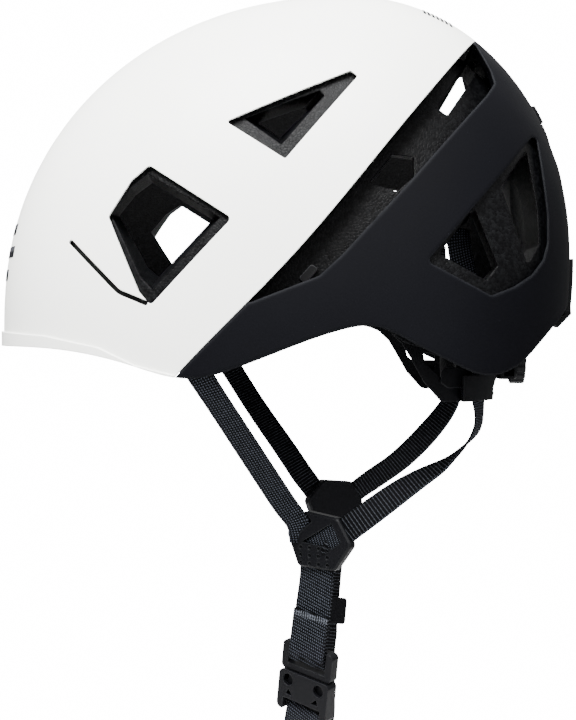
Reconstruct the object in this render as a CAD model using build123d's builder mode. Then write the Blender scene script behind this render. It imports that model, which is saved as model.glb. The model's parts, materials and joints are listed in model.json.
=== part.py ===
"""Climbing helmet: a two-piece hard shell over a foam liner, with a dial-adjusted rear cradle and a buckled chin strap.

Millimetres. +Z is up, the helmet faces -Y, and +X is the wearer's left. The origin is the middle of the head
opening, at the height of the brim's lower edge.
"""

import os
from math import atan2, cos, degrees, pi, radians, sin, sqrt, tan

from build123d import *

# Dome: its mid-line outline is a front and a rear power curve that meet at the crown.
CROWN_Y, CROWN_Z = 30.0, 173.0
FRONT_Y, REAR_Y = -138.7, 140.5
FRONT_WAIST_Z, REAR_WAIST_Z = 14.0, 45.0
FRONT_POWER, REAR_POWER = 2.1, 2.06
HALF_WIDTH = 108.0
SKIRT_Z = -35.0
REAR_TUCK = 12.0
FAN_Y = 28.0
FAN_ROOT = 6.0
FRONT_ARCH_POWER, REAR_ARCH_POWER = 2.2, 2.4
MIRROR_SPAN = HALF_WIDTH + 30.0

# Layers, as depths below the shell's outer face.
SHELL_T = 2.2
FOAM_OUT, FOAM_IN = 2.5, 21.0
FLANGE_IN, FLANGE_W = 6.5, 1.8
PAD_OUT, PAD_IN = 21.3, 27.5
BAND_OUT, BAND_IN = 23.6, 25.1
WEB_MID = 26.35
CRADLE_OUT, CRADLE_IN = 27.6, 29.7
NAPE_PAD_OUT, NAPE_PAD_IN = 30.0, 34.5

# Lower rim, as seen from the side: (y, z) from the brim to the nape.
RIM = [(-160, 0.5), (-138, 0), (-100, -1), (-65, -7.5), (-38, -13.2), (-18, -8.6), (4.5, 0), (27, 7.7), (42, 9.4),
       (57, 3), (75, -6), (91, -12), (104, -9), (111, -4), (120, 4.6), (131, 14.6), (155, 36)]
FOAM_RIM_LIFT = 2.5

# Seam between the front and rear shells, from the temple to the crown.
SEAM = [(-63, -34), (-44, -12), (5, 38.3), (51, 94), (95, 150), (120, 184)]
SEAM_GAP = 0.5

# Openings in the shells and the foam behind them, seen from the side.
BROW_VENT = [(-57.9, 81.2), (-20.1, 56.5), (-55.7, 18.4), (-61, 24.4), (-76.2, 58.2), (-66, 74.4)]
BROW_VENT_INNER = [(-59.5, 75), (-35, 58), (-54.5, 37), (-60, 40), (-75, 60.5), (-67, 70)]
TOP_VENT = [(-23.7, 100.4), (31.8, 124.2), (35, 121.4), (3, 82.7)]
TOP_VENT_INNER = [(-9, 103), (9, 109), (9.5, 106), (-1, 98)]
SLOT = [(91.9, 143), (97.5, 128.6), (98.8, 122), (94, 114.8), (56.8, 71.9), (28.2, 40.7), (17.9, 31.2),
        (-11.3, 19.9), (-24, 19), (40, 96), (82, 148)]
SLOT_DEPTH = 11.0
SLOT_HOLES = [[(40, 73), (50, 86), (60, 85), (60, 76), (52, 69)], [(71.5, 109), (89.5, 138.5), (94.5, 133), (76, 105.5)]]
NAPE_VENT = [(64.6, 37.5), (118.6, 100), (122, 60), (121.5, 47), (119, 39.5), (113, 32.5), (104, 27), (93, 22.8)]
NAPE_HOLES = [[(70, 41), (86, 62), (96.5, 36), (91, 29.5)], [(99, 72), (113, 91), (117, 62), (117, 46), (111, 37)]]
SLIT = [(-94, 47.2), (-70.5, 24.6), (-58, 19.6)]
SLIT_W = 2.2
VENT_CORNER = 2.0
BRIM = [(-160, 7), (-138, 7), (-107, 5), (-80, 0), (-62, -8), (-44, -12), (-60, -20), (-160, -20)]
BRIM_STEP = 1.2

# Headband, cradle and dial.
TEMPLE_Y, TEMPLE_Z = -50.0, 18.0
PIN_R, PIN_HEAD_R, PIN_CLEAR = 3.0, 7.0, 0.3
BAND = [(-57, 12), (-57, 24), (35, 25), (60, 16), (104, 5), (118, 4), (118, -12), (100, -10), (56, 2), (44, 11),
        (30, 13)]
BAND_END_X = 30.5
CRADLE = [(47, 9), (55, 1.5), (58, -3.5), (65, -16), (73, -25), (104.4, -25), (108, -22), (118, -21), (118, 12),
          (100, 14), (62, 13)]
CRADLE_HOLE = [(64.3, -2), (80, -6), (80, -14.5), (73, -14.5), (65.2, -7)]
CRADLE_BOSS = [(72.7, -11), (74.5, -9.3), (82.3, -9.3), (84, -11), (84, -18.5), (76, -18.5), (72.7, -16)]
CRADLE_RECESS = [(100.5, -22.3), (100.5, -12.5), (106.2, -12.5), (106.2, -20.8), (103.8, -22.3)]
CRADLE_PANEL = [(99, -24), (99, -11), (107.5, -11), (107.5, -21.5), (104.4, -24)]
GUARD = [(84, -25), (84, -13), (98.6, -13), (98.6, -25)]
GUARD_OUT, GUARD_IN = 22.9, 24.7
DIAL_Z = -4.6
DIAL_R, KNOB_Y0, KNOB_Y1 = 14.8, 112.9, 119.5
BOX_X, BOX_Z, BOX_Y0, BOX_Y1, COVER_T = 33.0, 11.5, 104.2, 111.0, 1.5
CAVITY_Z, CAVITY_Y0 = 9.9, 106.2
MODULE, TEETH = 0.8, 12
RACK_Y0, RACK_T, RACK_H, RACK_X0, RACK_X1 = 106.8, 1.8, 4.2, -2.0, 30.0

# Straps.
SIDE_WEB_W, WEB_T, WEB_FIT = 12.0, 1.2, 0.4
CHIN_WEB_W = 20.0
YOKE_YAW = 36.0
YOKE = Vector(60, 18.4, -90)
YOKE_SHIFT = Vector(6, 6.1, 3)
YOKE_T = 5.0
YOKE_OUTLINE = [(-18.6, 3.5), (-11.8, -12), (9, -12.6), (18.7, 0), (11, 11.8), (-8, 13.9)]
YOKE_WINDOW = [(7.6, 9.2), (13.2, 1), (8, -2.4), (-9.5, -0.4), (-5, 2.1)]
BUCKLE = Vector(50, 12.9, -147)
BUCKLE_W = 28.5

LEFT, RIGHT = 1, -1


def power_curve(a, b, power, angle):
    """A point of the quarter curve (x/a)^power + (y/b)^power = 1."""
    across, up = max(cos(radians(angle)), 0.0), max(sin(radians(angle)), 0.0)
    return a * across ** (2 / power), b * up ** (2 / power)


def dome_outline(inset):
    """The dome's mid-line as (y, z) points from the front skirt over the crown to the nape, below the outer face."""
    points = []
    for z in (SKIRT_Z, -12.0):
        points.append((FRONT_Y + inset, z))
    for angle in range(0, 90, 10):
        dy, dz = power_curve(CROWN_Y - FRONT_Y - inset, CROWN_Z - FRONT_WAIST_Z - inset, FRONT_POWER, angle)
        points.append((CROWN_Y - dy, FRONT_WAIST_Z + dz))
    for angle in range(90, -1, -10):
        dy, dz = power_curve(REAR_Y - CROWN_Y - inset, CROWN_Z - REAR_WAIST_Z - inset, REAR_POWER, angle)
        points.append((CROWN_Y + dy, REAR_WAIST_Z + dz))
    for z in (20.0, -5.0, SKIRT_Z):
        tuck = REAR_TUCK * ((REAR_WAIST_Z - z) / (REAR_WAIST_Z - SKIRT_Z)) ** 2
        points.append((REAR_Y - inset - tuck, z))
    return points


def dome(inset):
    """A solid dome whose surface lies inset below the helmet's outer face. It is a loft through planes that fan out
    from a line below the ears, so that both ends of the fan lie below the rim."""
    half_width = HALF_WIDTH - inset
    with BuildPart() as solid:
        for y, z in dome_outline(inset):
            reach = Vector(0, y - FAN_Y, z - SKIRT_Z)
            turn = degrees(atan2(z - SKIRT_Z, FAN_Y - y)) / 180
            power = FRONT_ARCH_POWER + (REAR_ARCH_POWER - FRONT_ARCH_POWER) * turn
            plane = Plane(origin=(0, FAN_Y, SKIRT_Z), x_dir=(1, 0, 0), z_dir=Vector(1, 0, 0).cross(reach))
            arch = []
            for angle in range(0, 181, 15):
                x, height = power_curve(half_width, reach.length - FAN_ROOT, power, min(angle, 180 - angle))
                arch.append((x if angle <= 90 else -x, FAN_ROOT + height))
            with BuildSketch(plane):
                with BuildLine():
                    curve = Spline(*arch)
                    Line(curve @ 1, curve @ 0)
                make_face()
        loft()
    return solid.part


DOMES = {}


def surface_x(y, z, inset):
    """How far the face at this depth lies from the mid-plane."""
    turn = atan2(z - SKIRT_Z, FAN_Y - y)
    spokes = [(atan2(q - SKIRT_Z, FAN_Y - p), sqrt((q - SKIRT_Z) ** 2 + (FAN_Y - p) ** 2))
              for p, q in dome_outline(inset)]
    for (turn0, reach0), (turn1, reach1) in zip(spokes, spokes[1:]):
        if turn0 <= turn <= turn1:
            reach = reach0 + (reach1 - reach0) * (turn - turn0) / (turn1 - turn0)
            power = FRONT_ARCH_POWER + (REAR_ARCH_POWER - FRONT_ARCH_POWER) * turn / pi
            share = (sqrt((y - FAN_Y) ** 2 + (z - SKIRT_Z) ** 2) - FAN_ROOT) / (reach - FAN_ROOT)
            return (HALF_WIDTH - inset) * (1 - share ** power) ** (1 / power)


def surface_point(y, z, inset):
    """A point on the left half of the face at this depth, and the level direction along it, pointing forward."""
    here, ahead = (Vector(surface_x(at, z, inset), at, z) for at in (y, y - 2))
    return here, (ahead - here).normalized()


def layer(outer, inner, kept):
    """The wall between two depths, within a kept region that stays clear of the skirt."""
    for inset in (outer, inner):
        if inset not in DOMES:
            DOMES[inset] = dome(inset)
    return (DOMES[outer] & kept) - DOMES[inner]


def side_block(points, corner=0.0, side=0, smooth=False):
    """An outline seen from the side, extruded across the helmet, or over one side only."""
    with BuildPart() as block:
        with BuildSketch(Plane.YZ) as face:
            with BuildLine():
                if smooth:
                    edge = Spline(*points)
                    Line(edge @ 1, edge @ 0)
                else:
                    Polyline(*points, close=True)
            make_face()
            if corner:
                fillet(face.vertices(), radius=corner)
        extrude(amount=side * MIRROR_SPAN if side else MIRROR_SPAN, both=not side)
    return block.part


def above_rim(lift=0.0):
    """Everything above the helmet's lower rim."""
    with BuildPart() as block:
        with BuildSketch(Plane.YZ):
            with BuildLine():
                edge = Spline(*[(y, z + lift) for y, z in RIM])
                Polyline(edge @ 1, (165, 220), (-160, 220), edge @ 0)
            make_face()
        extrude(amount=MIRROR_SPAN, both=True)
    return block.part


def ahead_of_seam(shift=0.0):
    """Everything ahead of and above the seam, moved back by shift."""
    with BuildPart() as block:
        with BuildSketch(Plane.YZ):
            with BuildLine():
                edge = Spline(*[(y + shift, z) for y, z in SEAM])
                Polyline(edge @ 1, (120, 230), (-200, 230), (-200, -60), edge @ 0)
            make_face()
        extrude(amount=MIRROR_SPAN, both=True)
    return block.part


def both_sides(part):
    """A part and its mirror image."""
    return part + mirror(part, about=Plane.YZ)


def tapered_vent(outer, inner, outer_x=116.0, inner_x=56.0):
    """A vent that narrows from its outline at the shell to a smaller one at the liner's inner face, on both sides."""
    with BuildPart() as cut:
        for points, x in ((outer, outer_x), (inner, inner_x)):
            with BuildSketch(Plane.YZ.offset(x)):
                with BuildLine():
                    Polyline(*points, close=True)
                make_face()
        loft()
    return both_sides(cut.part)


def slot_block(grow=0.0):
    """The long side slot, seen from the side and grown by a margin."""
    with BuildPart() as block:
        with BuildSketch(Plane.YZ):
            with BuildLine():
                Polyline(*SLOT, close=True)
            make_face()
            if grow:
                offset(amount=grow, kind=Kind.INTERSECTION)
        extrude(amount=MIRROR_SPAN, both=True)
    return block.part


def box_block(x0, x1, y0, y1, z0, z1):
    """A box between opposite corners."""
    corner = (Align.MIN, Align.MIN, Align.MIN)
    return Box(x1 - x0, y1 - y0, z1 - z0, align=corner, mode=Mode.PRIVATE).moved(Location((x0, y0, z0)))


def slit_block(width):
    """The slit that a headlamp strap is pushed into, seen from the side."""
    with BuildPart() as block:
        with BuildSketch(Plane.YZ):
            with BuildLine():
                FilletPolyline(*SLIT, radius=8)
                offset(amount=width / 2)
            make_face()
        extrude(amount=MIRROR_SPAN, both=True)
    return block.part


def export(part, name):
    """Write one piece to the parts folder."""
    part.label = name
    export_step(part, f"parts/{name}.step")


# ---- shells ---------------------------------------------------------------------------------------------------------

def front_shell():
    """White shell: brow, crown and temples, with two vents and a headlamp slit on each side."""
    brim = above_rim() & side_block(BRIM) & ahead_of_seam(-SEAM_GAP / 2)
    with BuildPart() as shell:
        add(layer(0, SHELL_T, above_rim()) & ahead_of_seam(-SEAM_GAP / 2))
        add(layer(-BRIM_STEP, SHELL_T / 2, brim))
        add(side_block(BROW_VENT, VENT_CORNER), mode=Mode.SUBTRACT)
        add(side_block(TOP_VENT, VENT_CORNER / 2), mode=Mode.SUBTRACT)
        add(slit_block(SLIT_W), mode=Mode.SUBTRACT)
    return shell.part


def rear_shell():
    """Dark shell: nape and sides, with a flanged lip along the side slot and a nape vent on each side."""
    with BuildPart() as shell:
        add(layer(0, SHELL_T, above_rim()) - ahead_of_seam(SEAM_GAP / 2))
        add(slot_block(), mode=Mode.SUBTRACT)
        add(side_block(NAPE_VENT, VENT_CORNER), mode=Mode.SUBTRACT)
        lip = (slot_block(FLANGE_W) - slot_block() - ahead_of_seam(SEAM_GAP / 2)) & above_rim()
        add(layer(SHELL_T / 2, FLANGE_IN, lip))
    return shell.part


def foam_liner():
    """Foam liner, cut by the vents, the slot pocket, the pin and strap pockets and the recess above the dial."""
    with BuildPart() as foam:
        add(layer(FOAM_OUT, FOAM_IN, above_rim(FOAM_RIM_LIFT)))
        add(tapered_vent(BROW_VENT, BROW_VENT_INNER), mode=Mode.SUBTRACT)
        add(tapered_vent(TOP_VENT, TOP_VENT_INNER), mode=Mode.SUBTRACT)
        for hole in SLOT_HOLES + NAPE_HOLES:
            add(side_block(hole, VENT_CORNER / 2), mode=Mode.SUBTRACT)
        add(slot_block(FLANGE_W + 0.4) - dome(SLOT_DEPTH), mode=Mode.SUBTRACT)
        add(both_sides(front_web_pocket()), mode=Mode.SUBTRACT)
        add(both_sides(pin_bore()), mode=Mode.SUBTRACT)
        add(box_block(-50, 50, 90, 127, -40, 36), mode=Mode.SUBTRACT)
    return foam.part


def seam_pad(outline, inner):
    """A comfort pad on the liner's inner face, seen from the side."""
    return layer(PAD_OUT, inner, side_block(outline, 4.0))


def crown_pad():
    """One of the two pads that run over the crown."""
    with BuildPart() as block:
        with BuildSketch(Plane.XY.offset(60)):
            with Locations((22, 18)):
                RectangleRounded(26, 118, 12)
        extrude(amount=140)
    return layer(PAD_OUT, PAD_IN, block.part)


# ---- headband and cradle --------------------------------------------------------------------------------------------

PIN_X = surface_x(TEMPLE_Y, TEMPLE_Z, BAND_IN)


def pin_bore():
    """The bore in the liner that a temple pin turns in."""
    return side_rod(PIN_R + PIN_CLEAR, 22).moved(Location((9, 0, 0)))


def side_rod(radius, length):
    """A rod across the left temple, centred where the band meets the pin."""
    return Cylinder(radius, length, mode=Mode.PRIVATE).moved(Location((PIN_X, TEMPLE_Y, TEMPLE_Z), (0, 90, 0)))


def temple_pin():
    """Temple pin: a domed head inside the band and a shaft that turns in the liner."""
    with BuildPart() as pin:
        with BuildSketch(Plane.XZ):
            with BuildLine():
                Polyline((0, -3.2), (4, -3.2), (PIN_HEAD_R, -1.6), (PIN_HEAD_R, -0.6), (PIN_R, -0.6), (PIN_R, 15),
                         (PIN_R - 1, 16.5), (0, 16.5), close=True)
            make_face()
        revolve(axis=Axis.Z)
    return pin.part.moved(Location((PIN_X - 3.4, TEMPLE_Y, TEMPLE_Z), (0, 90, 0)))


def side_band():
    """Headband half: from the temple pin round to the dial box."""
    with BuildPart() as band:
        add(layer(BAND_OUT, BAND_IN, side_block(BAND, 5.0, LEFT)) - box_block(-5, BAND_END_X, 60, 140, -40, 40))
        add(box_block(-5, BOX_X + 1, 60, CAVITY_Y0 + 0.2, -40, 40), mode=Mode.SUBTRACT)
        add(side_rod(PIN_R + 0.05, 30), mode=Mode.SUBTRACT)
    return band.part


def cradle():
    """Nape cradle: a curved plate with a dial box at its middle and a strap guard low on each side."""
    with BuildPart() as plate:
        add(layer(CRADLE_OUT, CRADLE_IN, side_block(CRADLE, 3.0)))
        add(side_block(CRADLE_HOLE, 0.8), mode=Mode.SUBTRACT)
        add(layer(CRADLE_OUT - 1.5, CRADLE_OUT + 0.2, side_block(CRADLE_BOSS, 0.8)))
        panel = side_block(CRADLE_PANEL, 1.0) - side_block(CRADLE_RECESS, 0.8)
        add(layer(CRADLE_OUT - 1.5, CRADLE_OUT + 0.2, panel) - box_block(-BOX_X, BOX_X, 60, 140, -40, 40))
        add(layer(GUARD_OUT, GUARD_IN, side_block(GUARD)) - box_block(-BOX_X, BOX_X, 60, 140, -40, 40))
        for y0, y1 in ((83, 84.4), (97.6, 99)):
            add(layer(GUARD_OUT, CRADLE_OUT + 0.2, side_block([(y0, -25), (y0, -13), (y1, -13), (y1, -25)])))
        add(box_block(-BOX_X, BOX_X, BOX_Y0, BOX_Y1, DIAL_Z - BOX_Z, DIAL_Z + BOX_Z))
        add(box_block(-60, 60, CAVITY_Y0, 140, DIAL_Z - CAVITY_Z, DIAL_Z + CAVITY_Z), mode=Mode.SUBTRACT)
    return plate.part


def nape_pad():
    """Comfort pad on the inside of the cradle."""
    pad = layer(NAPE_PAD_OUT, NAPE_PAD_IN, side_block([(82, -22), (82, 8), (108, 8), (108, -22)], 4.0, LEFT))
    return pad - box_block(-5, BOX_X + 0.5, 60, 140, -40, 40)


def dial_cover():
    """Lid of the dial box, with the hub's bearing hole."""
    with BuildPart() as lid:
        with BuildSketch(Plane.XZ.offset(-BOX_Y1 - 0.05)):
            with Locations((0, DIAL_Z)):
                RectangleRounded(2 * BOX_X, 2 * BOX_Z, 4)
                Circle(3.9, mode=Mode.SUBTRACT)
        extrude(amount=-COVER_T)
        chamfer(lid.faces().sort_by(Axis.Y)[-1].outer_wire().edges(), 0.6)
    return lid.part


def dial_knob():
    """Adjuster knob with scalloped grips and a recessed face."""
    with BuildPart() as knob:
        with BuildSketch(Plane.XZ.offset(-KNOB_Y0)):
            with Locations((0, DIAL_Z)):
                Circle(DIAL_R)
                with PolarLocations(DIAL_R + 1.2, 18):
                    Circle(2.0, mode=Mode.SUBTRACT)
        extrude(amount=KNOB_Y0 - KNOB_Y1)
        with BuildSketch(Plane.XZ.offset(-KNOB_Y1)):
            with Locations((0, DIAL_Z)):
                Circle(10.0)
        extrude(amount=1.2, mode=Mode.SUBTRACT)
    return knob.part


def dial_pinion():
    """Pinion and its shaft, pressed into the knob."""
    pitch_r = MODULE * TEETH / 2
    with BuildPart() as gear:
        with BuildSketch(Plane.XZ.offset(-CAVITY_Y0 - 0.3)):
            with Locations((0, DIAL_Z)):
                Circle(pitch_r - 0.6)
                with PolarLocations(pitch_r, TEETH):
                    Trapezoid(1.1, 1.5, 76, rotation=-90)
        extrude(amount=-(RACK_T + 1.0))
        with BuildSketch(Plane.XZ.offset(-CAVITY_Y0 - 0.3)):
            with Locations((0, DIAL_Z)):
                Circle(3.6)
        extrude(amount=-(KNOB_Y0 - CAVITY_Y0 - 0.3))
    return gear.part


def rack(side):
    """Toothed end of a headband half. The left one passes over the pinion and the right one under it."""
    pitch_r, pitch = MODULE * TEETH / 2, pi * MODULE
    with BuildPart() as strip:
        with BuildSketch(Plane.XZ.offset(-RACK_Y0)):
            with Locations(((RACK_X0 + RACK_X1) / 2, pitch_r + 0.9 + (RACK_H - 0.9) / 2)):
                Rectangle(RACK_X1 - RACK_X0, RACK_H - 0.9)
            with Locations(*[((n + 0.5) * pitch, pitch_r + 0.3) for n in range(int(RACK_X1 / pitch) - 1)]):
                Trapezoid(1.5, 1.4, 76, rotation=180)
        extrude(amount=-RACK_T)
    turn = 0 if side == LEFT else 180
    return strip.part.moved(Location((0, 0, DIAL_Z), (0, turn, 0)))


# ---- straps ---------------------------------------------------------------------------------------------------------

YOKE_ACROSS = Vector(sin(radians(YOKE_YAW)), cos(radians(YOKE_YAW)), 0)
YOKE_OUT = Vector(cos(radians(YOKE_YAW)), -sin(radians(YOKE_YAW)), 0)
UP = Vector(0, 0, 1)


def on_yoke(across, up, out=0.0):
    """A point given in the left yoke's own axes."""
    return YOKE + YOKE_ACROSS * across + UP * up + YOKE_OUT * out


def between(start, end, share):
    """The point a share of the way from start to end."""
    return start + (end - start) * share


def rounded(stations):
    """Stations of (point, direction across) with their corners cut twice, which smooths the path."""
    stations = [(point, across.normalized()) for point, across in stations]
    for _ in range(2):
        cut = [stations[0]]
        for (p0, a0), (p1, a1) in zip(stations, stations[1:]):
            cut += [(between(p0, p1, share), between(a0, a1, share)) for share in (0.25, 0.75)]
        stations = cut + [stations[-1]]
    return stations


def webbing(stations, width, thickness=WEB_T):
    """A flat strap lofted along stations of (point, direction across the strap)."""
    stations = rounded(stations)
    points = [point for point, _ in stations]
    with BuildPart() as strap:
        for index, (point, across) in enumerate(stations):
            along = points[min(index + 1, len(points) - 1)] - points[max(index - 1, 0)]
            flat = (across - along.normalized() * across.dot(along.normalized())).normalized()
            with BuildSketch(Plane(origin=point, x_dir=flat, z_dir=along)):
                Rectangle(width, thickness)
        loft(ruled=True)
    return strap.part


FRONT_TIE_Y, FRONT_TOP_Y, FRONT_MOUTH_Y, FRONT_TIE_IN = -45.5, -42.5, -34.0, 13.0
REAR_TIE_Y, GUIDE_Y = 80.0, 91.0


def front_web_stations():
    """Front strap: from its pocket in the liner down to the yoke, which it enters from outside."""
    on_plate = YOKE_ACROSS * 0.78 + UP * 0.627
    top, ahead = surface_point(FRONT_TOP_Y, 0.3, FRONT_TIE_IN)
    mouth, _ = surface_point(FRONT_MOUTH_Y, -13.3, FRONT_TIE_IN)
    near = on_yoke(-14.5, 12.5, 4.6)
    return [(top, ahead * -1), (mouth, ahead * -1), (between(mouth, near, 0.35), on_plate * 0.4 - ahead),
            (between(mouth, near, 0.75), on_plate - ahead * 0.3), (near, on_plate),
            (on_yoke(-10.5, 7.6, 2.2), on_plate), (on_yoke(-6, 2.4, 0.4), on_plate)]


def rear_web_stations(side):
    """Rear strap: from its tie on the liner, inside the headband and the cradle's guard, down to the yoke. The left
    one turns over on its way and the right one runs straight."""
    on_plate = (YOKE_ACROSS * -0.58 + UP * 0.82) * (-1 if side == LEFT else 1)
    stations = [surface_point(REAR_TIE_Y, 54.5, FOAM_IN + 1.2), surface_point(82, 38, FOAM_IN + 2.0),
                surface_point(GUIDE_Y - 1, 16, WEB_MID), surface_point(GUIDE_Y, -2, WEB_MID),
                surface_point(GUIDE_Y, -14, WEB_MID + 0.3), surface_point(GUIDE_Y, -26, WEB_MID + 1.4)]
    ahead = stations[-1][1]
    if side == LEFT:
        stations += [(Vector(59, 92.5, -37), Vector(0.95, -0.3, 0)), (Vector(62, 77, -54), Vector(1, 0.1, -0.15)),
                     (Vector(66.5, 54, -66), on_plate + Vector(0.3, 0, 0))]
    else:
        stations += [(Vector(59, 83.5, -38.8), ahead + on_plate * 0.4),
                     (Vector(62.5, 66, -57), ahead * 0.4 + on_plate), (Vector(66.5, 49, -72), on_plate)]
    return stations + [(on_yoke(19, 9.7, -1.2), on_plate), (on_yoke(14, 6.2, -0.3), on_plate),
                       (on_yoke(3, -1.6, 0), on_plate)]


def front_web_pocket():
    """The slot in the liner that holds the front strap and its tie."""
    top, ahead = surface_point(FRONT_TOP_Y, 0.3, FRONT_TIE_IN)
    mouth, _ = surface_point(FRONT_MOUTH_Y, -13.3, FRONT_TIE_IN)
    top, mouth = between(mouth, top, 1.15), between(top, mouth, 1.5)
    return webbing([(top, ahead), (mouth, ahead)], SIDE_WEB_W + 1.6, WEB_T + 1.6) + front_tie(0.2)


def front_tie(grow=0.0):
    """Plastic bar that holds the front strap's end in the liner."""
    top, ahead = surface_point(FRONT_TIE_Y, 7.2, FRONT_TIE_IN)
    bar = Box(20 + 2 * grow, 5 + 2 * grow, 7 + 2 * grow, mode=Mode.PRIVATE)
    return Plane(origin=top, x_dir=ahead, z_dir=UP).location * bar


def rear_tie():
    """Plastic button that holds the rear strap's end on the liner."""
    centre, ahead = surface_point(REAR_TIE_Y, 62, FOAM_IN + 2.6)
    return Plane(origin=centre, x_dir=ahead, z_dir=UP.cross(ahead)).location * Cylinder(7.0, 2.0, mode=Mode.PRIVATE)


CHIN_TOP = on_yoke(-2.1, -7, -0.6)
CHIN_UP = (on_yoke(-2.1, -13, -0.6) - BUCKLE).normalized()
CHIN_ACROSS = (YOKE_ACROSS - CHIN_UP * YOKE_ACROSS.dot(CHIN_UP)).normalized()
CHIN_OUT = CHIN_ACROSS.cross(CHIN_UP)
CHIN_PLANE = Plane(origin=BUCKLE, x_dir=CHIN_ACROSS, z_dir=CHIN_OUT)


def on_chin(across, up, out=0.0):
    """A point given in the left chin strap's own axes, measured from the middle of the upper buckle frame."""
    return BUCKLE + CHIN_ACROSS * across + CHIN_UP * up + CHIN_OUT * out


def other_side(item):
    """The point or part on the wearer's right that matches one on the left: mirrored, then shifted with the yoke."""
    if isinstance(item, Vector):
        return Vector(-item.X, item.Y, item.Z) + YOKE_SHIFT
    return mirror(item, about=Plane.YZ).moved(Location(YOKE_SHIFT))


def chin_webbing():
    """Chin strap from the left yoke to the upper buckle frame, where it wraps over the bar."""
    stations = [(CHIN_TOP, CHIN_ACROSS), (on_yoke(-2.1, -13, -0.6), CHIN_ACROSS), (on_chin(0, 16, 1.2), CHIN_ACROSS),
                (on_chin(0, 8, 1.9), CHIN_ACROSS), (on_chin(0, 2.2, 1.4), CHIN_ACROSS),
                (on_chin(0, -1.2, -0.9), CHIN_ACROSS)]
    return webbing(stations, CHIN_WEB_W)


TRI_UP = 2.0
LOOP_LOW = [(39, 9.5, -185), (24, 9.5, -196.5), (0, 11.5, -200), (-20, 14.5, -196), (-33.5, 16.5, -184)]


def to_right(stations):
    """The matching stations on the wearer's right: mirrored, and shifted with the yoke below the rim."""
    moved = []
    for point, across in stations:
        share = min(max((-26 - point.Z) / 45, 0), 1)
        moved.append((Vector(-point.X, point.Y, point.Z) + YOKE_SHIFT * share, Vector(-across.X, across.Y, across.Z)))
    return moved


def right_webbing():
    """Chin strap from the right yoke down into the slide."""
    stations = [(CHIN_TOP, CHIN_ACROSS), (on_yoke(-2.1, -13, -0.6), CHIN_ACROSS), (on_chin(0, 16), CHIN_ACROSS),
                (on_chin(0, TRI_UP + 0.2), CHIN_ACROSS)]
    return other_side(webbing(stations, CHIN_WEB_W))


def chin_loop():
    """Chin strap from the slide down under the chin and up to the lower buckle, where it wraps over the bar."""
    right_across = Vector(-CHIN_ACROSS.X, CHIN_ACROSS.Y, CHIN_ACROSS.Z)
    stations = [(on_chin(0, -21.8, -0.7), CHIN_ACROSS), (on_chin(0, -23.4, 1.9), CHIN_ACROSS),
                (on_chin(0, -28, 1.9), CHIN_ACROSS)]
    for share, point in zip((0.75, 0.3, 0, -0.3, -0.75), LOOP_LOW):
        stations.append((Vector(*point), Vector(CHIN_ACROSS.X * share, CHIN_ACROSS.Y, 0)))
    stations += [(other_side(on_chin(0, up)), right_across) for up in (-24, -10, TRI_UP - 0.2)]
    return webbing(stations, CHIN_WEB_W)


def on_buckle(solid, across=0.0, up=0.0, out=0.0):
    """A solid placed in the left chin strap's own axes."""
    return CHIN_PLANE.location * Pos(across, up, out) * solid


def block(across, up, out):
    """A solid box that joins no builder by itself."""
    return Box(across, up, out, mode=Mode.PRIVATE)


def tri_glide():
    """Slide on the right chin strap: a plate with a strap channel and two windows."""
    with BuildPart() as slide:
        add(on_buckle(block(26.5, 14, 4.4), 0, TRI_UP))
        fillet(slide.edges().filter_by(lambda e: abs(e.length - 4.4) < 0.01), 2)
        for up in (-3.2, 3.2):
            add(on_buckle(block(19, 3.4, 3), 0, TRI_UP + up, 2.2), mode=Mode.SUBTRACT)
        add(on_buckle(block(CHIN_WEB_W + WEB_FIT, 30, WEB_T + WEB_FIT), 0, TRI_UP), mode=Mode.SUBTRACT)
    return other_side(slide.part)


def yoke():
    """Side yoke: a flat plate where the front, rear and chin straps meet, with a window and a grid of dimples."""
    front_plane = Plane(origin=YOKE + YOKE_OUT * (YOKE_T / 2), x_dir=YOKE_ACROSS, z_dir=YOKE_OUT)
    with BuildPart() as plate:
        with BuildSketch(front_plane) as face:
            with BuildLine():
                Polyline(*YOKE_OUTLINE, close=True)
            make_face()
            fillet(face.vertices(), 3)
        extrude(amount=-YOKE_T)
        rims = plate.faces().filter_by(lambda f: abs(f.normal_at().dot(YOKE_OUT)) > 0.99)
        chamfer(rims.edges(), 0.8)
        with BuildSketch(front_plane):
            with BuildLine():
                Polyline(*YOKE_WINDOW, close=True)
            make_face()
        extrude(amount=-YOKE_T / 2, mode=Mode.SUBTRACT)
        with BuildSketch(front_plane):
            with Locations((-2.3, -6.6)):
                with GridLocations(5.1, 3.6, 4, 3):
                    Circle(0.95)
        extrude(amount=-0.7, mode=Mode.SUBTRACT)
        chin = [(on_yoke(-2.1, -6, -0.6), CHIN_ACROSS), (on_yoke(-2.1, -13, -0.6), CHIN_ACROSS),
                (on_chin(0, 20, 0), CHIN_ACROSS)]
        for stations, width in ((front_web_stations()[-4:], SIDE_WEB_W), (rear_web_stations(LEFT)[-4:], SIDE_WEB_W),
                                (chin, CHIN_WEB_W)):
            add(webbing(stations, width + 2 * WEB_FIT, WEB_T + 2 * WEB_FIT), mode=Mode.SUBTRACT)
    return plate.part


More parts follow.
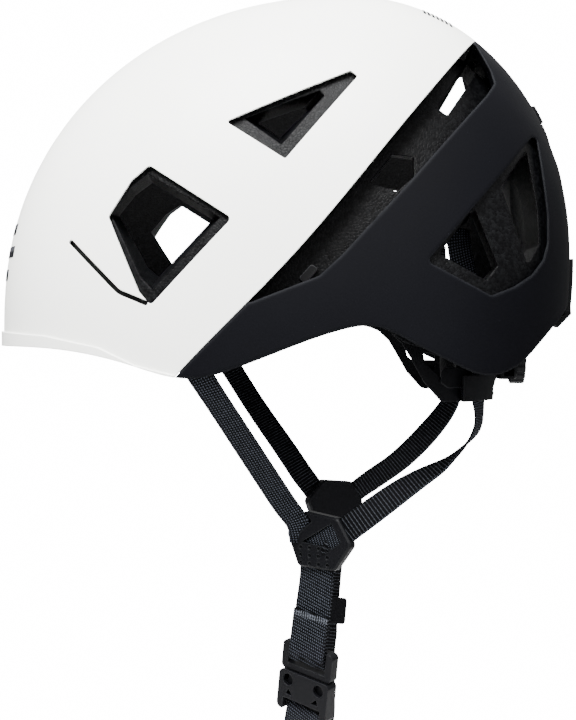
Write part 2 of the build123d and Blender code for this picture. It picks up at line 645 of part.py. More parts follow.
def buckle_male():
    """Upper buckle half: a strap frame with two hooked prongs."""
    with BuildPart() as frame:
        add(on_buckle(block(BUCKLE_W, 13.8, 5.2), 0, 0.1, -0.3))
        fillet(frame.edges().filter_by(lambda e: abs(e.length - 5.2) < 0.01), 2.2)
        add(on_buckle(block(21.4, 6.4, 12), 0, -0.6), mode=Mode.SUBTRACT)
        add(on_buckle(block(21.4, 8, 6), 0, 6.6, 3.6), mode=Mode.SUBTRACT)
        for side in (LEFT, RIGHT):
            add(on_buckle(block(5, 12.6, 2.4), side * 7.6, -12.6, 0))
            add(on_buckle(block(7, 3.2, 2.4), side * 8.4, -14.6, 0))
        add(on_buckle(block(6, 9, 2.0), 0, -10.8, 0))
    return frame.part


def buckle_female():
    """Lower buckle half: a hollow body with two round and two three-sided windows and a strap bar."""
    with BuildPart() as body:
        add(on_buckle(block(BUCKLE_W, 19.4, 7.0), 0, -16.9, 0))
        fillet(body.edges().filter_by(lambda e: abs(e.length - 7.0) < 0.01), 2.4)
        add(on_buckle(block(24.6, 12.4, 3.2), 0, -13.2, 0), mode=Mode.SUBTRACT)
        add(on_buckle(block(21.4, 2.6, 12), 0, -22.2), mode=Mode.SUBTRACT)
        add(on_buckle(block(21.4, 8, 6), 0, -24.9, 3.2), mode=Mode.SUBTRACT)
        with BuildSketch(Plane(origin=on_chin(0, 0, 3.6), x_dir=CHIN_ACROSS, z_dir=CHIN_OUT)):
            with Locations((-8.8, -11.6), (8.8, -11.6)):
                Circle(2.9)
            for side in (LEFT, RIGHT):
                with BuildLine():
                    Polyline((side * 5.2, -18.9), (side * 9.4, -18.9), (side * 8.2, -16), close=True)
                make_face()
        extrude(amount=-3, mode=Mode.SUBTRACT)
    return body.part


# ---- headlamp strap and trim ----------------------------------------------------------------------------------------

def spine_strip(outer, inner, half_width, z0, z1):
    """A strip that follows the shell down the back of the helmet."""
    return layer(outer, inner, box_block(-half_width, half_width, 60, 180, z0, z1))


def lamp_hook():
    """Hook that pulls down off the nape rim to hold or free a headlamp strap."""
    lip = [(139.8, 15.5), (136.2, 11.9), (135.2, 12.3), (133.8, 11.1), (136.4, 8.7), (143.0, 15.5), (142.8, 19),
           (139.9, 19)]
    with BuildPart() as hook:
        add(spine_strip(-3.4, -0.35, 7.5, 17, 43))
        add(side_block(lip) & box_block(-6, 6, 120, 150, 0, 30))
        add(box_block(-4, 4, 120, 160, 24, 27), mode=Mode.SUBTRACT)
    return hook.part


# ---- write the pieces -----------------------------------------------------------------------------------------------

os.makedirs("parts", exist_ok=True)

export(front_shell(), "front_shell")
export(rear_shell(), "rear_shell")
export(foam_liner(), "foam_liner")
export(seam_pad([(-150, 8), (-62, 8), (-62, 24), (-80, 36), (-150, 36)], PAD_IN), "brow_pad")
export(spine_strip(-2.0, -0.35, 5.5, 43.3, 110.7), "lamp_elastic")
export(spine_strip(-2.8, -0.05, 8.0, 111, 119), "lamp_anchor")
export(lamp_hook(), "lamp_hook")
export(cradle(), "cradle")
export(dial_cover(), "dial_cover")
export(dial_knob(), "dial_knob")
export(dial_pinion(), "dial_pinion")
export(rack(LEFT), "rack_left")
export(rack(RIGHT), "rack_right")

CLIP = [(9, 30.5), (14.5, 36.5), (17.5, 34.5), (12, 28)]
slot_clip = layer(SLOT_DEPTH - 4, SLOT_DEPTH - 0.1, side_block(CLIP, 1.0, LEFT))
for name, left in (("crown_pad", crown_pad()), ("temple_pin", temple_pin()), ("side_band", side_band()),
                   ("nape_pad", nape_pad()), ("slot_clip", slot_clip), ("front_tie", front_tie()),
                   ("rear_tie", rear_tie())):
    export(left, name + "_left")
    export(mirror(left, about=Plane.YZ), name + "_right")

export(webbing(front_web_stations(), SIDE_WEB_W), "front_webbing_left")
export(webbing(to_right(front_web_stations()), SIDE_WEB_W), "front_webbing_right")
export(webbing(rear_web_stations(LEFT), SIDE_WEB_W), "rear_webbing_left")
export(webbing(to_right(rear_web_stations(RIGHT)), SIDE_WEB_W), "rear_webbing_right")

left_yoke = yoke()
export(left_yoke, "yoke_left")
export(other_side(left_yoke), "yoke_right")
export(chin_webbing(), "chin_webbing_left")
export(right_webbing(), "chin_webbing_right")
export(chin_loop(), "chin_loop")
export(tri_glide(), "tri_glide")
export(buckle_male(), "buckle_male")
export(buckle_female(), "buckle_female")
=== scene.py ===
"""Looks of the climbing helmet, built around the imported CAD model. Metres; +Z up, the helmet faces -Y."""
import json
from math import cos, pi, radians, sin

import bmesh
import bpy
from mathutils import Matrix, Vector


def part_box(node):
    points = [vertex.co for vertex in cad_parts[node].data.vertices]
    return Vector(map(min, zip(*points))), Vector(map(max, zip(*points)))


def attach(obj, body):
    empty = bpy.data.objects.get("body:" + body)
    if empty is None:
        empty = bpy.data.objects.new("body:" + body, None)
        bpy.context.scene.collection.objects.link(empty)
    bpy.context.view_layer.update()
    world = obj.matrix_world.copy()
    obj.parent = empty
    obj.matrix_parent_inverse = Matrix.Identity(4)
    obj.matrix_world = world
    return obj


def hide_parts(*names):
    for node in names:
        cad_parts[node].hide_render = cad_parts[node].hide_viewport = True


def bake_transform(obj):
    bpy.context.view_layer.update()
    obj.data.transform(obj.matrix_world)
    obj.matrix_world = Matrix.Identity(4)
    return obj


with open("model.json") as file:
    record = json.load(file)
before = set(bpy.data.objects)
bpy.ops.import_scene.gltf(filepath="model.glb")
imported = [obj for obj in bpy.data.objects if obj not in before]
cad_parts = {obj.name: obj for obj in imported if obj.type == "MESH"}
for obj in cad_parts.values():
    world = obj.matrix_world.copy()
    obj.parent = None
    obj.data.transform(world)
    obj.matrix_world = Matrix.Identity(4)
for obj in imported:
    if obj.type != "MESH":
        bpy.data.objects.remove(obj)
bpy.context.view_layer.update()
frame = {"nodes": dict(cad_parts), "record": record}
NODES = frame["nodes"]
MM = 0.001
UP = Vector((0, 0, 1))
SIDES = (("left", 1), ("right", -1))


# ---- node helpers ------------------------------------------------------------------------------

class Shader:
    """A material being built: a Principled shader with short ways to add and join nodes."""

    def __init__(self, name, **values):
        self.material = bpy.data.materials.new(name)
        self.material.use_nodes = True
        self.tree = self.material.node_tree
        self.main = self.tree.nodes["Principled BSDF"]
        for socket, value in values.items():
            self.main.inputs[socket.replace("_", " ")].default_value = value

    def node(self, kind, **settings):
        node = self.tree.nodes.new("ShaderNode" + kind)
        for key, value in settings.items():
            if hasattr(node, key):
                setattr(node, key, value)
            else:
                node.inputs[key.replace("_", " ")].default_value = value
        return node

    def join(self, source, target):
        self.tree.links.new(source, target)
        return source

    def coords(self, kind="Object"):
        return self.node("TexCoord").outputs[kind]

    def math(self, operation, first, second=None):
        node = self.node("Math", operation=operation)
        for value, socket in zip((first, second), node.inputs):
            if value is None:
                continue
            if isinstance(value, (int, float)):
                socket.default_value = value
            else:
                self.join(value, socket)
        return node.outputs[0]

    def noise(self, scale, detail=3.0, vector=None):
        node = self.node("TexNoise", Scale=scale, Detail=detail)
        self.join(vector if vector is not None else self.coords(), node.inputs["Vector"])
        return node.outputs["Fac"]

    def ramp(self, fac, stops):
        node = self.node("ValToRGB")
        ramp = node.color_ramp
        while len(ramp.elements) < len(stops):
            ramp.elements.new(0.5)
        for element, (place, shade) in zip(ramp.elements, stops):
            element.position = place
            element.color = shade if isinstance(shade, tuple) else (shade, shade, shade, 1)
        self.join(fac, node.inputs["Fac"])
        return node.outputs["Color"]

    def bump(self, height, distance, strength=1.0, base=None):
        node = self.node("Bump", Strength=strength, Distance=distance)
        self.join(height, node.inputs["Height"])
        if base is not None:
            self.join(base, node.inputs["Normal"])
        self.join(node.outputs["Normal"], self.main.inputs["Normal"])


def tone(red, green, blue):
    """An opaque colour in linear light."""
    return (red, green, blue, 1.0)


# ---- materials ---------------------------------------------------------------------------------

def times(colour, factor):
    """A colour made lighter or darker without changing its hue."""
    return tuple(min(channel * factor, 1.0) for channel in colour[:3]) + (1.0,)


def painted_edge_highlight(shader, colour, edge, bevel, sharp):
    """Mix a lighter colour into a surface towards its corners: a painted highlight in place of the light that
    rounded edges catch.
    """
    turn = shader.node("VectorMath", operation="DOT_PRODUCT")
    shader.join(bevel, turn.inputs[0])
    shader.join(shader.node("NewGeometry").outputs["Normal"], turn.inputs[1])
    mask = shader.ramp(turn.outputs["Value"], [(0.78, 1.0), (sharp, 0.0)])
    patchy = shader.math("MULTIPLY", mask, shader.ramp(shader.noise(150.0), [(0.25, 0.6), (0.6, 1.0)]))
    mix = shader.node("Mix", data_type="RGBA")
    shader.join(patchy, mix.inputs[0])
    shader.join(colour, mix.inputs[6])
    mix.inputs[7].default_value = edge
    return mix.outputs[2]


def moulded(name, colour, roughness, grain=900.0, depth=0.00003, spread=0.06, specular=0.3, edge=None,
            roll=0.0007, sharp=0.985):
    """Moulded plastic: fine surface grain, a slow drift of shade and of gloss, and rolled edges with a painted
    highlight along them.
    """
    shader = Shader(name, Specular_IOR_Level=specular)
    bevel = shader.node("Bevel", samples=6, Radius=roll).outputs["Normal"]
    slow = shader.noise(22.0, 2.0)
    shade = shader.ramp(slow, [(0.3, times(colour, 1 - spread)), (0.7, times(colour, 1 + spread))])
    # Painted highlight: near corners the base colour is mixed towards the lighter edge colour, in place of the
    # light caught by the rounded edges.
    if edge:
        shade = painted_edge_highlight(shader, shade, edge, bevel, sharp)
    shader.join(shade, shader.main.inputs["Base Color"])
    gloss = shader.ramp(shader.noise(60.0), [(0.2, roughness - 0.04), (0.8, roughness + 0.05)])
    shader.join(gloss, shader.main.inputs["Roughness"])
    shader.bump(shader.noise(grain, 4.0), depth, base=bevel)
    return shader.material


def bead_foam(name, colour, glint):
    """Moulded bead foam: rounded cells with darker seams, with some cells painted lighter as glints of light on
    the beads.
    """
    shader = Shader(name, Roughness=0.40, Specular_IOR_Level=0.05)
    cells = shader.node("TexVoronoi", feature="F1", Scale=760.0)
    edges = shader.node("TexVoronoi", feature="DISTANCE_TO_EDGE", Scale=760.0)
    for node in (cells, edges):
        shader.join(shader.coords(), node.inputs["Vector"])
    # Painted glints: cells shift towards the glint colour, in place of the light caught by the beads.
    shade = shader.ramp(cells.outputs["Color"], [(0.3, colour), (0.95, glint)])
    seam = shader.ramp(edges.outputs["Distance"], [(0.0, 0.55), (0.10, 1.0)])
    mix = shader.node("Mix", data_type="RGBA", blend_type="MULTIPLY")
    mix.inputs[0].default_value = 1.0
    shader.join(shade, mix.inputs[6])
    shader.join(seam, mix.inputs[7])
    shader.join(mix.outputs[2], shader.main.inputs["Base Color"])
    soft = shader.node("Bevel", samples=4, Radius=0.0012).outputs["Normal"]
    shader.bump(shader.math("MINIMUM", edges.outputs["Distance"], 0.2), 0.0005, 0.8, base=soft)
    return shader.material


def woven(name, base, dash, columns, pitch, ladder=False):
    """Flat webbing: UV x runs once across it and UV y is in metres along it. It has light dashes in staggered
    columns, or with ladder set, thin bars across it like a ladder's rungs."""
    shader = Shader(name, Roughness=0.75, Specular_IOR_Level=0.05)
    split = shader.node("SeparateXYZ")
    shader.join(shader.coords("UV"), split.inputs[0])
    across = shader.math("MULTIPLY", split.outputs["X"], columns)
    along = shader.math("DIVIDE", split.outputs["Y"], pitch)
    if ladder:
        hump_u = shader.math("ADD", shader.math("MULTIPLY", shader.math("SINE", shader.math(
            "MULTIPLY", across, 2 * pi)), 0.12), 0.88)
        hump_v = shader.math("POWER", shader.math("ABSOLUTE", shader.math("SINE", shader.math(
            "MULTIPLY", along, pi))), 5.0)
    else:
        shift = shader.math("MULTIPLY", shader.math("FLOOR", across), 0.12)
        row = shader.math("FRACT", shader.math("ADD", along, shift))
        hump_u = shader.math("SINE", shader.math("MULTIPLY", shader.math("FRACT", across), pi))
        hump_v = shader.math("SINE", shader.math("MULTIPLY", row, pi))
    height = shader.math("MULTIPLY", hump_u, hump_v)
    fade = shader.math("ADD", height, shader.math("MULTIPLY", shader.noise(260.0), 0.30))
    colour = shader.ramp(fade, [(0.50, times(base, 0.6)), (0.66, base), (0.98, dash)])
    shader.join(colour, shader.main.inputs["Base Color"])
    shader.bump(height, 0.0003, 0.9)
    return shader.material


def cloth(name, colour, scale=1400.0):
    """Fine knitted facing of a comfort pad."""
    shader = Shader(name, Roughness=0.92, Specular_IOR_Level=0.08, Sheen_Weight=0.04)
    weave = shader.node("TexWave", wave_type="BANDS", bands_direction="DIAGONAL", Scale=scale / 4,
                        Distortion=1.5)
    shader.join(shader.coords(), weave.inputs["Vector"])
    knit = shader.ramp(weave.outputs["Fac"], [(0.2, times(colour, 0.7)), (0.9, times(colour, 1.8))])
    shader.join(knit, shader.main.inputs["Base Color"])
    shader.bump(weave.outputs["Fac"], 0.0002, 0.6)
    return shader.material


DASH, RUNG = tone(0.033, 0.037, 0.047), tone(0.024, 0.026, 0.031)
WEB_BASE = tone(0.0006, 0.0007, 0.0012)
# The edge colours given below are painted highlights: lighter colour on rounded edges in place of the light they
# catch.
WHITE = moulded("shell_white", tone(0.74, 0.745, 0.715), 0.42, grain=700, depth=0.000012, spread=0.008,
                specular=0.3,
                edge=tone(0.84, 0.84, 0.82))
BLACK = moulded("shell_black", tone(0.0014, 0.00148, 0.0022), 0.62, grain=1500, depth=0.00004, spread=0.10,
                specular=0.03, edge=tone(0.0080, 0.0084, 0.0098), roll=0.0026, sharp=0.97)
# The foam's second colour is a painted glint on its beads.
FOAM = bead_foam("foam", tone(0.0006, 0.0006, 0.0008), tone(0.0034, 0.0036, 0.0040))
WEB = woven("webbing", WEB_BASE, DASH, 9.0, 0.00125)
WEB_BACK = woven("webbing_back", WEB_BASE, RUNG, 6.0, 0.0017, ladder=True)
CHIN_WEB = woven("chin_webbing", WEB_BASE, DASH, 18.0, 0.0015)
CHIN_BACK = woven("chin_webbing_back", WEB_BASE, RUNG, 10.0, 0.0017, ladder=True)
ELASTIC = woven("elastic", tone(0.0035, 0.0036, 0.0042), tone(0.040, 0.042, 0.046), 9.0, 0.0016)
THREAD = cloth("stitch_thread", tone(0.040, 0.044, 0.052))
PAD = cloth("pad_cloth", tone(0.0022, 0.0023, 0.0027))
# These edge colours are painted highlights on rounded edges too.
HARDWARE = moulded("buckle_plastic", tone(0.0028, 0.0029, 0.0036), 0.42, grain=1800, depth=0.00004,
                   spread=0.12,
                   specular=0.06, edge=tone(0.012, 0.0125, 0.014))
HARNESS = moulded("harness_plastic", tone(0.0020, 0.0021, 0.0026), 0.50, grain=1800, depth=0.00005,
                  spread=0.12,
                  specular=0.05, edge=tone(0.010, 0.0105, 0.0120))
GREY = moulded("print_grey", tone(0.30, 0.31, 0.33), 0.55)
# Its edge colour is a painted highlight on rounded edges.
CLIP = moulded("trim_grey", tone(0.0016, 0.0016, 0.0019), 0.30, specular=0.12, edge=tone(0.035, 0.036, 0.040))
INK = moulded("print_ink", tone(0.0060, 0.0065, 0.0090), 0.42, specular=0.10)

FINISHES = {"shell_white": WHITE, "shell_black": BLACK, "foam": FOAM, "pad_cloth": PAD, "webbing": WEB,
            "elastic": ELASTIC, "trim_grey": CLIP, "buckle_plastic": HARDWARE, "harness_plastic": HARNESS}


def repaint(node, material):
    """Give a CAD node one material."""
    node.data.materials.clear()
    node.data.materials.append(material)


for part in frame["record"]["subparts"]:
    repaint(NODES[part["node"]], FINISHES[part["material_slot"]])


def soften(node, width, angle=35.0, segments=2):
    """Round a CAD node's sharp edges, as moulded edges are, without touching its mesh."""
    bevel = node.modifiers.new("soft edges", "BEVEL")
    bevel.width = width
    bevel.segments = segments
    bevel.limit_method = "ANGLE"
    bevel.angle_limit = radians(angle)
    bevel.use_clamp_overlap = True
    bevel.harden_normals = True


# ---- mesh helpers ------------------------------------------------------------------------------

def new_object(name, mesh, material, smooth=True):
    piece = bpy.data.objects.new(name, mesh)
    bpy.context.scene.collection.objects.link(piece)
    mesh.materials.append(material)
    if smooth:
        mesh.polygons.foreach_set("use_smooth", [True] * len(mesh.polygons))
    return piece


def plane_cut(node, origin, normal, ahead=None):
    """Where a plane cuts a CAD node: the middle of the cut and the direction of its longer side. With ahead
    given, only the half of the plane on that side of the origin counts."""
    mesh = node.data
    heights = [(vertex.co - origin).dot(normal) for vertex in mesh.vertices]
    hits = []
    for edge in mesh.edges:
        a, b = edge.vertices
        if heights[a] * heights[b] < 0:
            share = heights[a] / (heights[a] - heights[b])
            hit = mesh.vertices[a].co.lerp(mesh.vertices[b].co, share)
            if ahead is None or (hit - origin).dot(ahead) > 0:
                hits.append(hit)
    if len(hits) < 3:
        return None
    far = max(hits, key=lambda p: (p - hits[0]).length)
    end = max(hits, key=lambda p: (p - far).length)
    long_side = (end - far).normalized()
    middle = sum(hits, Vector()) / len(hits)
    low = min((p - middle).dot(long_side) for p in hits)
    high = max((p - middle).dot(long_side) for p in hits)
    side = long_side.cross(normal).normalized()
    thin = [(p - middle).dot(side) for p in hits]
    return middle + long_side * (low + high) / 2 + side * (min(thin) + max(thin)) / 2, long_side


def strap_route(node, planes):
    """Middle line of a strap's CAD solid as (point, direction across), one for each cutting plane."""
    cuts = [cut for cut in (plane_cut(node, *plane) for plane in planes) if cut]
    route = []
    for index, (point, across) in enumerate(cuts):
        along = (cuts[min(index + 1, len(cuts) - 1)][0] - cuts[max(index - 1, 0)][0]).normalized()
        across = (across - along * across.dot(along)).normalized()
        if route and across.dot(route[-1][1]) < 0:
            across = -across
        route.append((point, across))
    return route


def strap(name, route, width, thickness, outer, back, facing, step=0.0022):
    """A flat strap along a route: rounded edges, a faint crown across it, UVs in metres along it. The face that
    starts out turned towards facing gets the outer material."""
    points = [route[0]]
    travelled = 0.0
    for (p, a), (q, b) in zip(route, route[1:]):
        count = max(int((q - p).length / step), 1)
        for n in range(1, count + 1):
            points.append((p.lerp(q, n / count), a.lerp(b, n / count).normalized()))
    for _ in range(3):
        inner = [((points[i - 1][0] + points[i][0] * 2 + points[i + 1][0]) / 4,
                  (points[i - 1][1] + points[i][1] * 2 + points[i + 1][1]).normalized())
                 for i in range(1, len(points) - 1)]
        points = [points[0]] + inner + [points[-1]]
    profile = strap_profile(width, thickness)
    ring = len(profile)
    first_out = points[0][1].cross((points[1][0] - points[0][0]).normalized())
    outer_first = first_out.dot(Vector(facing)) > 0
    bm = bmesh.new()
    uv = bm.loops.layers.uv.new("UVMap")
    rows = []
    lengths = []
    for index, (point, across) in enumerate(points):
        along = points[min(index + 1, len(points) - 1)][0] - points[max(index - 1, 0)][0]
        out = across.cross(along.normalized()).normalized()
        rows.append([bm.verts.new(point + across * x + out * y) for x, y, _ in profile])
        if index:
            travelled += (point - points[index - 1][0]).length
        lengths.append(travelled)
    for index in range(len(rows) - 1):
        for n in range(ring):
            m = (n + 1) % ring
            face = bm.faces.new((rows[index][n], rows[index][m], rows[index + 1][m], rows[index + 1][n]))
            u0, u1 = profile[n][2], profile[m][2]
            face.material_index = 0 if (n < ring // 2) == outer_first else 1
            v0, v1 = lengths[index], lengths[index + 1]
            corners = ((u0, v0), (u1, v0), (u1, v1), (u0, v1))
            for loop, corner in zip(face.loops, corners):
                loop[uv].uv = corner
    for row in (rows[0], rows[-1]):
        bm.faces.new(row)
    bmesh.ops.recalc_face_normals(bm, faces=bm.faces)
    mesh = bpy.data.meshes.new(name)
    bm.to_mesh(mesh)
    bm.free()
    piece = new_object(name, mesh, outer)
    mesh.materials.append(back)
    return piece


def strap_profile(width, thickness, columns=8):
    """Cross-section of a strap as (across, out, u): two nearly flat faces joined by rounded edges."""
    half, thick = width / 2, thickness / 2
    flat = half - thick
    top = [(-flat + 2 * flat * n / columns, thick * (1 - 0.10 * (2 * n / columns - 1) ** 2))
           for n in range(columns + 1)]
    points = [(x, y, (x + half) / width) for x, y in top]
    points.append((half, 0.0, 1.0))
    points += [(x, -y, (x + half) / width) for x, y in reversed(top)]
    points.append((-half, 0.0, 0.0))
    return points


def level_planes(name, spacing=0.004, margin=0.0008):
    """Level cutting planes from the top of a node to its foot."""
    low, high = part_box(name)
    count = int((high[2] - low[2] - 2 * margin) / spacing)
    levels = [high[2] - margin - (high[2] - low[2] - 2 * margin) * n / count for n in range(count + 1)]
    return [(Vector((0, 0, level)), UP) for level in levels]


# ---- straps ------------------------------------------------------------------------------------

SIDE_W, CHIN_W, WEB_T = 12 * MM, 20 * MM, 1.25 * MM


def side_straps():
    """Front and rear straps, each laid along the middle line of its CAD solid."""
    for which in ("front", "rear"):
        for side, sign in SIDES:
            name = f"{which}_webbing_{side}"
            route = strap_route(NODES[name], level_planes(name))
            piece = strap(name + "_cloth", route, SIDE_W, WEB_T, WEB, WEB_BACK, (sign, 0, 0))
            low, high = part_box(name)
            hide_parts(name)
            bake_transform(piece)


def chin_straps():
    """Upper chin straps, from each yoke to the buckle and to the slide."""
    for side, sign in SIDES:
        name = f"chin_webbing_{side}"
        route = strap_route(NODES[name], level_planes(name, margin=0.0012))
        low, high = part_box(name)
        middle, flat = route[len(route) // 2]
        route = [(point, flat if point.z < middle.z else across) for point, across in route
                 if point.z > low[2] + 7 * MM]
        end = route[-1][0]
        step = (end - route[-3][0]) * ((end.z - low[2] - 2 * MM) / (route[-3][0].z - end.z)) / 3
        route += [(end + step * n, flat) for n in (1, 2, 3)]
        piece = strap(name + "_cloth", route, CHIN_W, WEB_T, CHIN_WEB, CHIN_BACK, (sign, 0, 0))
        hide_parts(name)
        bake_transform(piece)
        if side == "left":
            sewn_tail(route)


def yoke_windows():
    """The rear strap's end, seen through the window of each yoke. Its route lies in the left yoke's plane."""
    turn = radians(36)
    across, out = Vector((sin(turn), cos(turn), 0)), Vector((cos(turn), -sin(turn), 0))
    hub, shift = Vector((60, 18.4, -90)), Vector((6, 6.1, 3))
    for side, sign in SIDES:
        route = []
        for a, b in ((11.5, 4.4), (6, 0.4), (0, -3.8), (-3, -5.9)):
            point, flat = hub + across * a + UP * b + out * 1.15, across * -0.58 + UP * 0.82
            if sign < 0:
                point, flat = Vector((-point.x, point.y, point.z)) + shift, Vector((-flat.x, flat.y, flat.z))
            route.append((point * MM, flat.normalized()))
        piece = strap(f"yoke_window_cloth_{side}", route, 15 * MM, 0.9 * MM, CHIN_WEB, CHIN_WEB, (sign, 0, 0))
        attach(piece, "yokes")


def sewn_tail(route):
    """The strap's free end, folded back over it above the buckle and held by a row of bar-tack stitches."""
    tail = []
    for (p, across), (q, _) in zip(route, route[1:]):
        out = across.cross((q - p).normalized())
        out = out if out.x > 0 else -out
        if -0.1470 < p.z < -0.1225:
            tail.append((p + out * 1.3 * MM, across))
    piece = strap("chin_strap_tail", tail, CHIN_W - 0.4 * MM, WEB_T, CHIN_WEB, CHIN_BACK, (1, 0, 0))
    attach(piece, "chin_strap")
    start, across = tail[0]
    down = (tail[1][0] - start).normalized()
    out = across.cross(down)
    out = out if out.x > 0 else -out
    bm = bmesh.new()
    for n in range(15):
        turn = Matrix((across, down, out)).transposed().to_4x4()
        place = Matrix.Translation(start + down * 1.6 * MM + out * 0.62 * MM + across * (n - 7) * 1.28 * MM)
        bmesh.ops.create_uvsphere(bm, u_segments=8, v_segments=6, radius=1.0,
                                  matrix=place @ turn @ Matrix.Diagonal((0.36 * MM, 1.5 * MM, 0.30 * MM, 1)))
    mesh = bpy.data.meshes.new("bar_tack")
    bm.to_mesh(mesh)
    bm.free()
    stitches = new_object("bar_tack", mesh, THREAD)
    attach(stitches, "chin_strap")


def chin_loop():
    """The loop under the chin, from the slide to the lower buckle."""
    low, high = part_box("chin_loop")
    hub = Vector(((low[0] + high[0]) / 2, 0, high[2] - 0.004))
    planes = []
    for degrees in range(2, 186, 3):
        turn = radians(degrees)
        planes.append((hub, Vector((sin(turn), 0, cos(turn))), Vector((cos(turn), 0, -sin(turn)))))
    route = strap_route(NODES["chin_loop"], planes)
    piece = strap("chin_loop_cloth", route, CHIN_W, WEB_T, CHIN_WEB, CHIN_BACK, (1, 0, 0))
    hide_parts("chin_loop")
    return piece


side_straps()
yoke_windows()
chin_straps()
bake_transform(chin_loop())


def lamp_elastic():
    """Elastic from its anchor at the back down to the hook."""
    name = "lamp_elastic"
    route = strap_route(NODES[name], level_planes(name))
    piece = strap(name + "_cloth", route, 11 * MM, 1.4 * MM, ELASTIC, ELASTIC, (0, 1, 0))
    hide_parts(name)
    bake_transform(piece)


lamp_elastic()


# ---- headband ----------------------------------------------------------------------------------

def copied(name, node, material):
    """A free copy of a CAD node's mesh, with its seams closed."""
    mesh = NODES[node].data.copy()
    mesh.transform(NODES[node].matrix_world)
    mesh.materials.clear()
    piece = new_object(name, mesh, material, smooth=False)
    bm = bmesh.new()
    bm.from_mesh(mesh)
    bmesh.ops.remove_doubles(bm, verts=bm.verts, dist=0.00002)
    bm.to_mesh(mesh)
    bm.free()
    return piece


def side_bands():
    """Flexible headband halves: copies of the CAD pieces, with long edges subdivided and large faces
    triangulated."""
    for side, _ in SIDES:
        piece = copied(f"side_band_{side}_flex", f"side_band_{side}", HARNESS)
        bm = bmesh.new()
        bm.from_mesh(piece.data)
        for _ in range(3):
            long_edges = [edge for edge in bm.edges if edge.calc_length() > 5 * MM]
            if long_edges:
                bmesh.ops.subdivide_edges(bm, edges=long_edges, cuts=1)
        bmesh.ops.triangulate(bm, faces=[face for face in bm.faces if len(face.verts) > 4])
        bm.to_mesh(piece.data)
        bm.free()
        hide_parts(f"side_band_{side}")
        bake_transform(piece)


side_bands()


# ---- pads --------------------------------------------------------------------------------------

HEAD = Vector((0, 0.02, 0.04))
PAD_VOXEL = 0.0016
CHANNEL_DEPTH, CHANNEL_SPREAD = 1.9 * MM, 1.5 * MM


def relax(bm, factor):
    """Smooth every point of a mesh towards its neighbours."""
    bmesh.ops.smooth_vert(bm, verts=bm.verts, factor=factor, use_axis_x=True, use_axis_y=True, use_axis_z=True)


def pad(node, body, channels):
    """A comfort pad: the CAD solid rounded into a crowned, closed form, with sewn channels pressed into its face.
    Each channel is a plane, as (point, normal)."""
    piece = copied(f"{node}_cushion", node, PAD)
    remesh = piece.modifiers.new("voxels", "REMESH")
    remesh.mode = "VOXEL"
    remesh.voxel_size = PAD_VOXEL
    bpy.context.view_layer.update()
    solid = bpy.data.meshes.new_from_object(piece.evaluated_get(bpy.context.evaluated_depsgraph_get()))
    piece.modifiers.clear()
    piece.data = solid
    bm = bmesh.new()
    bm.from_mesh(solid)
    for _ in range(14):
        relax(bm, 0.5)
    bm.normal_update()
    for vertex in bm.verts:
        facing = vertex.normal.dot((HEAD - vertex.co).normalized())
        swell = 0.35 * MM
        if facing > 0.2:
            for point, normal in channels:
                off = (vertex.co - Vector(point)).dot(Vector(normal))
                swell -= CHANNEL_DEPTH * 2.718 ** -(off / CHANNEL_SPREAD) ** 2
        vertex.co += vertex.normal * swell
    relax(bm, 0.3)
    bm.to_mesh(solid)
    bm.free()
    solid.polygons.foreach_set("use_smooth", [True] * len(solid.polygons))
    solid.materials.clear()
    solid.materials.append(PAD)
    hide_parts(node)
    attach(piece, body)


spokes = [radians(angle) for angle in (-52, -26, 0, 26, 52)]
pad("brow_pad", "helmet", [((0, -0.02, 0.022), (cos(turn), sin(turn), 0)) for turn in spokes])
for side, sign in SIDES:
    pad(f"crown_pad_{side}", "helmet", [((0, y * MM, 0), (0, 1, 0)) for y in (-18, 18, 54)])
    pad(f"nape_pad_{side}", "cradle", [((0, 0.088, 0), (0, 1, 0))])


# ---- printed marks -----------------------------------------------------------------------------

def decal(name, outline, aim, material):
    """A thin printed film on the front shell. outline lists rows of points, and aim is the way it's laid."""
    shell = NODES["front_shell"]
    aim = Vector(aim).normalized()
    bm = bmesh.new()
    rows = []
    for row in outline:
        made = []
        for point in row:
            start = Vector(point) - aim * 0.2
            hit, place, normal, _ = shell.ray_cast(shell.matrix_world.inverted() @ start, aim)
            if not hit:
                raise ValueError(f"{name} misses the shell")
            normal = normal if normal.dot(aim) < 0 else -normal
            made.append((bm.verts.new(place + normal * 0.22 * MM), bm.verts.new(place + normal * 0.04 * MM)))
        rows.append(made)
    for r in range(len(rows) - 1):
        for c in range(len(rows[0]) - 1):
            for layer in (0, 1):
                corners = [rows[i][j][layer] for i, j in ((r, c), (r, c + 1), (r + 1, c + 1), (r + 1, c))]
                bm.faces.new(corners if layer == 0 else corners[::-1])
    rim = [rows[0][c] for c in range(len(rows[0]))] + [rows[r][-1] for r in range(1, len(rows))]
    rim += [rows[-1][c] for c in range(len(rows[0]) - 2, -1, -1)]
    rim += [rows[r][0] for r in range(len(rows) - 2, 0, -1)]
    for (top, foot), (next_top, next_foot) in zip(rim, rim[1:] + rim[:1]):
        bm.faces.new((top, foot, next_foot, next_top))
    bmesh.ops.recalc_face_normals(bm, faces=bm.faces)
    mesh = bpy.data.meshes.new(name)
    bm.to_mesh(mesh)
    bm.free()
    piece = new_object(name, mesh, material)
    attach(piece, "helmet")


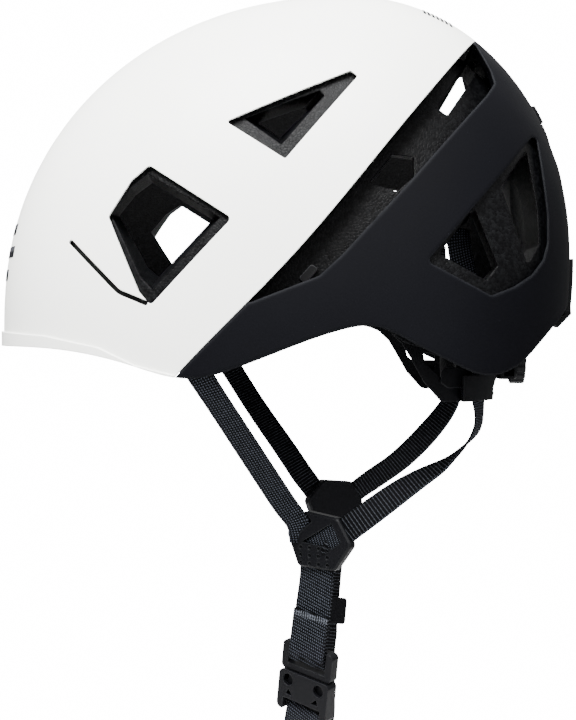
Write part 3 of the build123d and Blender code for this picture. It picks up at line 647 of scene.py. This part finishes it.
def marks():
    """Three plain stripes on the brow, and a plain bar and a row of ticks behind the crown."""
    for n, (level, reach) in enumerate(((34, 34), (45, 39), (56, 34))):
        rows = [[(reach * c / 14 * MM, -0.12, (level + tall) * MM) for c in range(-14, 15)]
                for tall in (-2.6, 0, 2.6)]
        decal(f"brow_stripe_{n}", rows, (0, 1, 0), INK)
    for n in range(7):
        y = 68.0 + 2.1 * n
        rows = [[(x * MM, (y + w) * MM, 0.16) for w in (-0.6, 0, 0.6)] for x in range(23, 36, 2)]
        decal(f"crown_tick_{n}", rows, (0, 0, -1), INK)
    rows = [[(x * MM, (66.5 + 1.6 * c) * MM, 0.17) for c in range(11)] for x in range(-16, 17, 4)]
    decal("crown_bar", rows, (0, 0, -1), GREY)


marks()


# ---- soft edges on the CAD pieces --------------------------------------------------------------

for names, width in ((("front_shell", "rear_shell"), 0.5), (("yoke_left", "yoke_right", "tri_glide"), 0.45),
                     (("buckle_male", "buckle_female"), 0.5), (("cradle", "dial_cover", "dial_knob"), 0.4),
                     (("lamp_hook", "lamp_anchor"), 0.5)):
    for name in names:
        soften(NODES[name], width * MM)


# ---- stage -------------------------------------------------------------------------------------

def area_light(name, place, target, size, power, colour=(1, 1, 1)):
    light = bpy.data.lights.new(name, "AREA")
    light.shape = "RECTANGLE"
    light.size, light.size_y = size
    light.energy = power
    light.color = colour
    lamp = bpy.data.objects.new(name, light)
    bpy.context.scene.collection.objects.link(lamp)
    lamp.location = place
    lamp.rotation_euler = (Vector(target) - Vector(place)).to_track_quat("-Z", "Y").to_euler()


FLOOR_Z, FLOOR_R = -0.45, 0.8
SKY_LIGHT, BACKDROP = 1.65, 16.0


def studio():
    """Plain pale floor, white surroundings and large soft lights."""
    bm = bmesh.new()
    place = Matrix.Translation((0, 0, FLOOR_Z))
    bmesh.ops.create_circle(bm, cap_ends=True, segments=96, radius=FLOOR_R, matrix=place)
    mesh = bpy.data.meshes.new("floor")
    bm.to_mesh(mesh)
    bm.free()
    pale = Shader("floor", Base_Color=tone(0.72, 0.72, 0.72), Roughness=0.9).material
    floor = new_object("floor", mesh, pale, False)
    world = bpy.data.worlds.new("studio")
    bpy.context.scene.world = world
    world.use_nodes = True
    tree = world.node_tree
    light, backdrop = tree.nodes["Background"], tree.nodes.new("ShaderNodeBackground")
    backdrop.inputs["Color"].default_value = tone(1, 1, 1)
    light.inputs["Strength"].default_value = SKY_LIGHT
    backdrop.inputs["Strength"].default_value = BACKDROP
    split, sky = tree.nodes.new("ShaderNodeSeparateXYZ"), tree.nodes.new("ShaderNodeValToRGB")
    tree.links.new(tree.nodes.new("ShaderNodeTexCoord").outputs["Generated"], split.inputs[0])
    tree.links.new(split.outputs["Z"], sky.inputs["Fac"])
    low, high = sky.color_ramp.elements
    low.color, high.color = tone(0.16, 0.16, 0.16), tone(1, 1, 1)
    high.position = 0.60
    tree.links.new(sky.outputs["Color"], light.inputs["Color"])
    mix = tree.nodes.new("ShaderNodeMixShader")
    tree.links.new(tree.nodes.new("ShaderNodeLightPath").outputs["Is Camera Ray"], mix.inputs[0])
    tree.links.new(light.outputs[0], mix.inputs[1])
    tree.links.new(backdrop.outputs[0], mix.inputs[2])
    tree.links.new(mix.outputs[0], tree.nodes["World Output"].inputs["Surface"])
    area_light("key", (0.75, -0.3, 1.4), (0, 0, 0.10), (1.0, 1.0), 200)
    area_light("fill", (1.5, 0.6, 0.35), (0, 0, 0.02), (1.0, 1.2), 16)


def camera():
    """The photographed view: from the wearer's left, level with the brim."""
    data = bpy.data.cameras.new("camera")
    data.sensor_width = 36.0
    data.sensor_fit = "AUTO"
    data.lens = 71.0
    data.shift_x, data.shift_y = -0.0597, -0.0486
    data.clip_start = 0.05
    item = bpy.data.objects.new("camera", data)
    bpy.context.scene.collection.objects.link(item)
    item.location = (0.715, 0.023, 0.010)
    item.rotation_euler = (radians(90), 0, radians(90))
    bpy.context.scene.camera = item


studio()
camera()
